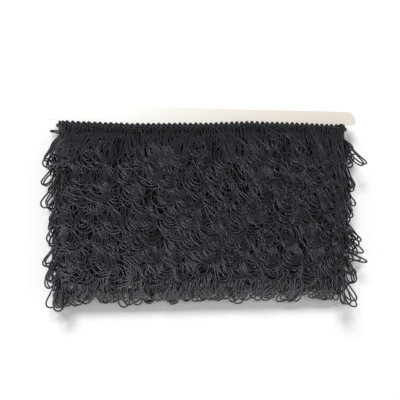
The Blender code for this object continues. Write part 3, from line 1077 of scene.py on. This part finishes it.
@dataclass
class EndLoops(CordWork):
    """The loops of one row that leave the heading where it turns round the card's ends."""

    per_end: int = 11
    hem_per_end: int = 7
    scatter: tuple[float, float] = (0.2, 0.8)
    cord_radius: float = 0.54 * MM
    skin: tuple[int, int] = (6, 26)
    # How far the longest loop of each row reaches out beyond its climb, in millimetres.
    reach_left: tuple[float, ...] = (9.0, 5.5, 5.5, 6.0, 6.5, 6.5, 6.0, 6.0)
    reach_right: tuple[float, ...] = (12.0, 4.5, 4.0, 10.0, 15.0, 18.0, 18.0, 17.0)
    first_angle: float = 20.0
    angle_span: float = 140.0
    radii: tuple[float, float] = (1.6, 4.4)
    radius_growth: float = 0.1
    longest: float = 0.8
    shorter: float = 13.0
    lifted: float = 0.4
    twists: tuple[float, float] = (50.0, 130.0)
    lean: float = 0.10
    root_cover: float = 1.2 * MM
    root_half_gap: float = 0.9 * MM
    least_off: float = 2.0 * MM
    hem_most_off: float = 3.5 * MM
    # Powers that say how late a loop's reach, cut, width and flare set in.
    reach_power: float = 1.1
    cut_power: float = 1.5
    width_power: float = 1.5
    flare_power: float = 1.4

    def build(self) -> bpy.types.Object:
        """Draw the loops of both ends and join them.

        Returns:
            The piece.
        """
        cords = CordMesh(f"fringe_loops_ends_{self.row}", self.cord_radius, *self.skin)
        count = self.hem_per_end if self.hem else self.per_end
        for away, reaches in ((-1, self.reach_left), (1, self.reach_right)):
            for place in range(count):
                share = (place + self.dice.uniform(*self.scatter)) / count
                angle = math.radians(self.first_angle + self.angle_span * share)
                reach = reaches[self.row - 1] * MM * self.dice.uniform(0, 1) ** self.reach_power
                cords.add(self.path(away, angle, reach))
        return self.dress(cords)

    def path(self, away: int, angle: float, reach: float) -> np.ndarray:
        """Draw one loop.

        Args:
            away: 1 for the right end and -1 for the left end.
            angle: Where on the turn it is rooted, from the front face.
            reach: How much further out it goes than its row's climb.

        Returns:
            Its points.
        """
        winding, dice = self.winding, self.dice
        reach *= math.sin(angle) ** 2
        radius = dice.uniform(*self.radii) * MM + self.radius_growth * reach
        cut = self.shorter * dice.uniform(0, 1) ** self.cut_power
        depth_end = winding.trim_depth - (cut - self.longest) * MM
        if not self.hem:
            depth_end -= self.lifted * reach
        twist = math.radians(dice.uniform(*self.twists)) * dice.choice([-1, 1])
        lean = dice.normal(0, self.lean)
        first = winding.heading_height - self.root_cover
        down = np.linspace(first, depth_end - radius, STRAND_POINTS)
        share = (down - down[0]) / (down[-1] - down[0])
        narrow = self.root_half_gap
        half = narrow + (radius - narrow) * np.sin(share * np.pi / 2) ** self.width_power
        arc = depth_end - radius + radius * np.sin(ARC_ANGLES)
        depth = np.concatenate([down, arc, down[::-1]])
        wide = np.concatenate([-half, -radius * np.cos(ARC_ANGLES), half[::-1]])
        share = np.clip((depth - down[0]) / (depth_end - down[0]), 0, 1)
        front = (1 + math.cos(angle)) / 2
        row = min(self.row, winding.row_count - 1)
        off = (
            front * climb(winding, Side.FRONT, row, depth)
            + (1 - front) * climb(winding, Side.BACK, row, depth)
        )
        if self.hem:
            off = np.minimum(off, self.hem_most_off)
        flare = reach * share ** self.flare_power
        ball = winding.turn_inner + np.maximum(off, self.least_off) + flare
        ball = ball + wide * np.sin(twist * share)
        tangent = wide * np.cos(twist * share) + lean * (depth - down[0])
        out_x, out_z = away * math.sin(angle), math.cos(angle)
        x = winding.middle_x + away * winding.turn_centre + ball * out_x + tangent * away * out_z
        z = winding.middle_z + ball * out_z - tangent * math.sin(angle)
        across = (x - winding.middle_x) * front
        y = winding.row_top(self.row) + winding.lift(self.row, across) * front - depth
        return np.stack([x, y, np.maximum(z, self.cord_radius)], axis=1)


@dataclass
class Heading(CordWork):
    """The chain-stitched heading of one row: cord laid to and fro, held by lines of stitches."""

    cord_radius: float = 0.6 * MM
    rib_pitch: float = 1.65 * MM
    scallop: float = 0.7 * MM
    scallop_spread: tuple[float, float] = (0.8, 1.2)
    inner_scallop: float = 0.4
    bow_start: float = 0.5 * MM
    jitter: float = 0.03
    # Offsets of the turns from the heading's inner face, in millimetres, and the cords' skins.
    offs: tuple[float, ...] = (2.8, 3.9)
    top_offs: tuple[float, ...] = (0.6, 1.7, 2.8, 3.9)
    skin: tuple[int, int] = (5, 9)
    top_skin: tuple[int, int] = (6, 14)
    # The legs of a rib from its foot up: depth and sinking, in millimetres.
    legs: tuple[tuple[float, float], ...] = (
        (13.2, 0.6), (10.0, 0.9), (7.0, 0.4), (3.5, 0.0), (0.8, 0.0),
    )
    stitch_radius: float = 0.34 * MM
    stitch_sides: int = 4
    stitch_depths: tuple[float, ...] = (1.3 * MM, 2.3 * MM)
    stitch_off: float = 0.95 * MM
    stitch_dip: float = 0.15 * MM
    stitch_sway: float = 0.28 * MM
    stitch_steps: int = 1800

    def lap(self, travelled: np.ndarray, off: np.ndarray | float) -> tuple[np.ndarray, np.ndarray]:
        """Place on the closed path round the card.

        Args:
            travelled: Distances from the front's left end.
            off: Distances off the heading's inner face.

        Returns:
            Arrays of x and z.
        """
        winding = self.winding
        straight = 2 * winding.turn_centre
        turn = math.pi * winding.turn_outer
        along = np.mod(travelled, 2 * (straight + turn))
        radius = winding.turn_inner + off
        second = along >= straight + turn
        part = np.where(second, along - straight - turn, along)
        angle = np.clip((part - straight) / winding.turn_outer, 0, math.pi)
        base = np.clip(part, 0, straight) - winding.turn_centre
        x = base + radius * np.sin(angle)
        z = radius * np.cos(angle)
        flip = np.where(second, -1.0, 1.0)
        return winding.middle_x + flip * x, winding.middle_z + flip * z

    def front_share(self, z: np.ndarray) -> np.ndarray:
        """How far a place is on the front, from 0 on the back to 1 on the front."""
        return np.clip(0.5 + (z - self.winding.middle_z) / (2 * self.winding.turn_outer), 0, 1)

    def place(self, travelled: np.ndarray, depth: np.ndarray, off: np.ndarray) -> np.ndarray:
        """Points on the heading.

        Args:
            travelled: Distances round the lap.
            depth: Depths below the heading's top.
            off: Distances off its inner face.

        Returns:
            The points.
        """
        x, z = self.lap(travelled, off)
        lift = self.winding.lift(self.row, x - self.winding.middle_x) * self.front_share(z)
        y = self.winding.row_top(self.row) + lift - depth
        return np.stack([x, y, z], axis=1)

    def build_ribs(self) -> bpy.types.Object:
        """Cord that runs up, turns in a scallop and runs down again, for each turn of trim.

        Returns:
            The piece.
        """
        offs, skin = (self.top_offs, self.top_skin) if self.top else (self.offs, self.skin)
        cords = CordMesh(f"heading_ribs_{self.row}", self.cord_radius, *skin)
        count = round(self.winding.lap_length / (2 * self.rib_pitch))
        pitch = self.winding.lap_length / count
        half = pitch / 4
        angles = np.linspace(0, np.pi, 9)[1:-1]
        leg_depths, leg_drops = np.array(self.legs).T * MM
        leg = np.full(len(leg_depths), half)
        for turn, off in enumerate(offs):
            # Every other turn under the outermost one lies half a rib aside and has no scallops,
            # so that the card doesn't show between those of the others.
            below = len(offs) - 1 - turn
            start = half * (below % 2)
            share = 1.0 if below == 0 else self.inner_scallop * (1 - below % 2)
            for number in range(count):
                middle = start + number * pitch + self.dice.normal(0, self.jitter) * pitch
                rise = self.scallop * self.dice.uniform(*self.scallop_spread) * share
                bow = self.bow_start - (rise + self.bow_start) * np.sin(angles)
                across = np.concatenate([-leg, -half * np.cos(angles), leg])
                deep = np.concatenate([leg_depths, bow, leg_depths[::-1]])
                drop = np.concatenate([leg_drops, 0 * angles, leg_drops[::-1]])
                cords.add(self.place(middle + across, deep, off * MM - drop))
        return self.dress(cords)

    def build_stitches(self) -> bpy.types.Object:
        """Lines of thin thread that run along the heading and dip between its ribs.

        Returns:
            The piece.
        """
        steps, name = self.stitch_steps, f"heading_stitches_{self.row}"
        cords = CordMesh(name, self.stitch_radius, self.stitch_sides, steps)
        travelled = np.linspace(0, self.winding.lap_length, steps + 1)[:-1]
        wave = 2 * math.pi * travelled / (2 * self.rib_pitch)
        height = self.winding.heading_stack + self.stitch_off + self.stitch_dip * np.cos(2 * wave)
        for line, depth in enumerate(self.stitch_depths):
            deep = depth + self.stitch_sway * np.sin(wave + line * math.pi / 2)
            cords.paths.append(self.place(travelled, deep, height))
        return self.dress(cords)


@dataclass
class LooseEnds(CordWork):
    """The few cords that stray from the top heading, as the photo shows at its two ends."""

    cord_radius: float = 0.5 * MM
    skin: tuple[int, int] = (6, 26)
    # Loop at the left end, in millimetres: out from the turn, down from the top, in from the front.
    stray: tuple[tuple[float, float, float], ...] = (
        (4.6, 6.9, 3.0), (7.4, 6.3, 2.6), (9.9, 5.9, 2.4), (10.4, 5.5, 2.4),
        (9.8, 5.2, 2.4), (7.2, 5.3, 2.4), (4.2, 5.6, 2.2),
    )
    # Raised scallop at the right end: its middle's place, its half width, its rise and its legs.
    scallop_out: float = 1.6 * MM
    scallop_up: float = 0.3 * MM
    scallop_in: float = 0.2 * MM
    scallop_half: float = 2.3 * MM
    scallop_rise: float = 1.9 * MM
    scallop_leg: float = 2.5 * MM

    def build(self) -> bpy.types.Object:
        """Draw the stray cords.

        Returns:
            The piece.
        """
        winding = self.winding
        cords = CordMesh("loose_cords", self.cord_radius, *self.skin)
        top = winding.row_top(self.row)
        front = winding.middle_z + winding.turn_outer
        left = winding.middle_x - winding.turn_centre
        right = winding.middle_x + winding.turn_centre
        cords.add(np.array([left, top, front]) - np.array(self.stray) * MM)
        angles = np.linspace(0, np.pi, 11)
        scallop = np.stack([
            right + self.scallop_out - self.scallop_half * np.cos(angles),
            top + self.scallop_up + self.scallop_rise * np.sin(angles),
            front - self.scallop_in + 0 * angles,
        ], axis=1)
        ends = scallop[[0, -1]] - (0, self.scallop_leg, 0)
        cords.add(np.concatenate([ends[:1], scallop, ends[1:]]))
        return self.dress(cords)


@dataclass
class CardDress:
    """The winding card, which keeps its CAD shape and gets its board finish."""

    finish: FoldingBoxboard

    def build(self) -> bpy.types.Object:
        """Dress the card.

        Returns:
            The card's object.
        """
        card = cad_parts[CARD_NODE]
        card.data.materials.clear()
        card.data.materials.append(self.finish.build())
        return card


@dataclass(frozen=True)
class Softbox:
    """A soft light that faces the object: its place, its width and height, and its watts."""

    name: str
    place: tuple[float, float, float]
    size: tuple[float, float]
    power: float

    def build(self, reached: bpy.types.Collection) -> bpy.types.Object:
        """Hang the light.

        Args:
            reached: The objects that it lights.

        Returns:
            The light.
        """
        data = bpy.data.lights.new(self.name, "AREA")
        data.shape = "RECTANGLE"
        data.size, data.size_y = self.size
        data.energy = self.power
        light = add_object(self.name, data)
        light.location = self.place
        light.visible_camera = False
        light.rotation_euler = (-Vector(self.place)).to_track_quat("-Z", "Y").to_euler()
        light.light_linking.receiver_collection = reached
        return light


@dataclass
class Studio:
    """Floor, light and camera."""

    camera_distance: float = 420 * MM
    camera_target: tuple[float, float, float] = (-5.1 * MM, 5.75 * MM, 12 * MM)
    yaw: float = -8.4
    pitch: float = -3.0
    roll: float = 0.68
    focal_pixels: float = 652.0
    frame_pixels: float = 400.0
    sensor: float = 36.0
    floor_size: float = 6.0
    surroundings: float = 0.38
    low: Softbox = Softbox("low_softbox", (-1.5, 4.25, 4.25), (2.2, 1.2), 319.0)
    high: Softbox = Softbox("high_softbox", (-0.2, 1.5, 5.8), (2.5, 1.2), 46.0)
    front: Softbox = Softbox("front_softbox", (-0.42, -0.38, 0.66), (0.75, 0.75), 7.9)

    def build_floor(self) -> bpy.types.Object:
        """Lay the white floor.

        Returns:
            The floor.
        """
        half = self.floor_size / 2
        mesh = bpy.data.meshes.new("studio_floor")
        corners = [(-half, -half, 0), (half, -half, 0), (half, half, 0), (-half, half, 0)]
        mesh.from_pydata(corners, [], [(0, 1, 2, 3)])
        mesh.materials.append(PaperSweep().build())
        floor = add_object("studio_floor", mesh)
        return floor

    def build_camera(self) -> bpy.types.Object:
        """Place the camera nearly straight above, a little nearer to the left end.

        Returns:
            The camera.
        """
        data = bpy.data.cameras.new("camera")
        data.sensor_width = self.sensor
        data.lens = self.sensor * self.focal_pixels / self.frame_pixels
        data.clip_start = 0.01
        camera = add_object("camera", data)
        view = Matrix.Translation(self.camera_target)
        for angle, axis in ((self.yaw, "Y"), (self.pitch, "X"), (self.roll, "Z")):
            view = view @ Matrix.Rotation(math.radians(angle), 4, axis)
        camera.matrix_world = view @ Matrix.Translation((0, 0, self.camera_distance))
        bpy.context.scene.camera = camera
        return camera

    def build_light(self, cords: list[bpy.types.Object], flats: list[bpy.types.Object]) -> None:
        """Hang the soft lights and set the even white surroundings.

        Args:
            cords: Pieces of cord, which the front light alone reaches, so that it throws no second
                shadow on the paper.
            flats: Floor and card, which the two lights beyond the card's top edge reach.
        """
        for name, reached, lights in (
            ("front_light_reaches", cords, (self.front,)),
            ("top_lights_reach", flats, (self.low, self.high)),
        ):
            collection = bpy.data.collections.new(name)
            for piece in reached:
                collection.objects.link(piece)
            for light in lights:
                light.build(collection)
        world = bpy.data.worlds.new("white_room")
        bpy.context.scene.world = world
        world.use_nodes = True
        set_inputs(world.node_tree, world.node_tree.nodes["Background"], {
            "Color": (1.0, 1.0, 1.0, 1.0), "Strength": self.surroundings,
        })
        bpy.context.scene.view_settings.view_transform = "Standard"


def fill_field(winding: Winding, side: Side) -> HeightField:
    """Height field of one face with the card and the headings on it.

    Args:
        winding: Sizes of the winding.
        side: Face of the card.

    Returns:
        The field.
    """
    low, high = CAD_BOX
    corners = [tuple(corner[axis] + move for axis in (0, 1))
               for corner, move in ((low, -FIELD_MARGIN), (high, FIELD_MARGIN))]
    field = HeightField(*corners, FIELD_CELL)
    x, y = field.grid()
    across = np.abs(x - winding.middle_x)
    card = (across < winding.turn_centre) & (y > winding.card_bottom) & (y < winding.card_top)
    field.heights[card] = winding.turn_inner - winding.clearance
    excess = np.maximum(0, across - winding.turn_centre)
    height = np.sqrt(np.maximum(winding.turn_outer ** 2 - excess ** 2, 0))
    for row in range(1, winding.row_count + 1):
        top = winding.row_top(row)
        band = (y < top) & (y > top - winding.heading_height) & (excess < winding.turn_outer)
        field.heights[band] = np.maximum(field.heights[band], height[band])
    if side is Side.FRONT:
        field.heights = np.maximum(field.heights, -winding.middle_z)
    return field


def main() -> None:
    """Build everything in order."""
    logging.basicConfig(level=logging.INFO, format="%(name)s %(message)s")
    winding = Winding()
    cord = ViscoseCord().build()
    card = CardDress(FoldingBoxboard()).build()
    fields = {side: fill_field(winding, side) for side in Side}
    pieces = []
    for row in range(winding.row_count, 0, -1):
        work = (winding, row, np.random.default_rng(ROW_SEED + row), cord)
        heading = Heading(*work)
        pieces.append(heading.build_ribs())
        if row == 1:
            pieces.append(heading.build_stitches())
        for side in Side:
            pieces.append(Fringe(*work, side).build(fields[side]))
        pieces.append(EndLoops(*work).build())
    pieces.append(LooseEnds(winding, 1, np.random.default_rng(LOOSE_SEED), cord).build())
    studio = Studio()
    floor = studio.build_floor()
    studio.build_camera()
    studio.build_light(pieces, [floor, card])


if __name__ == "__main__":
    main()
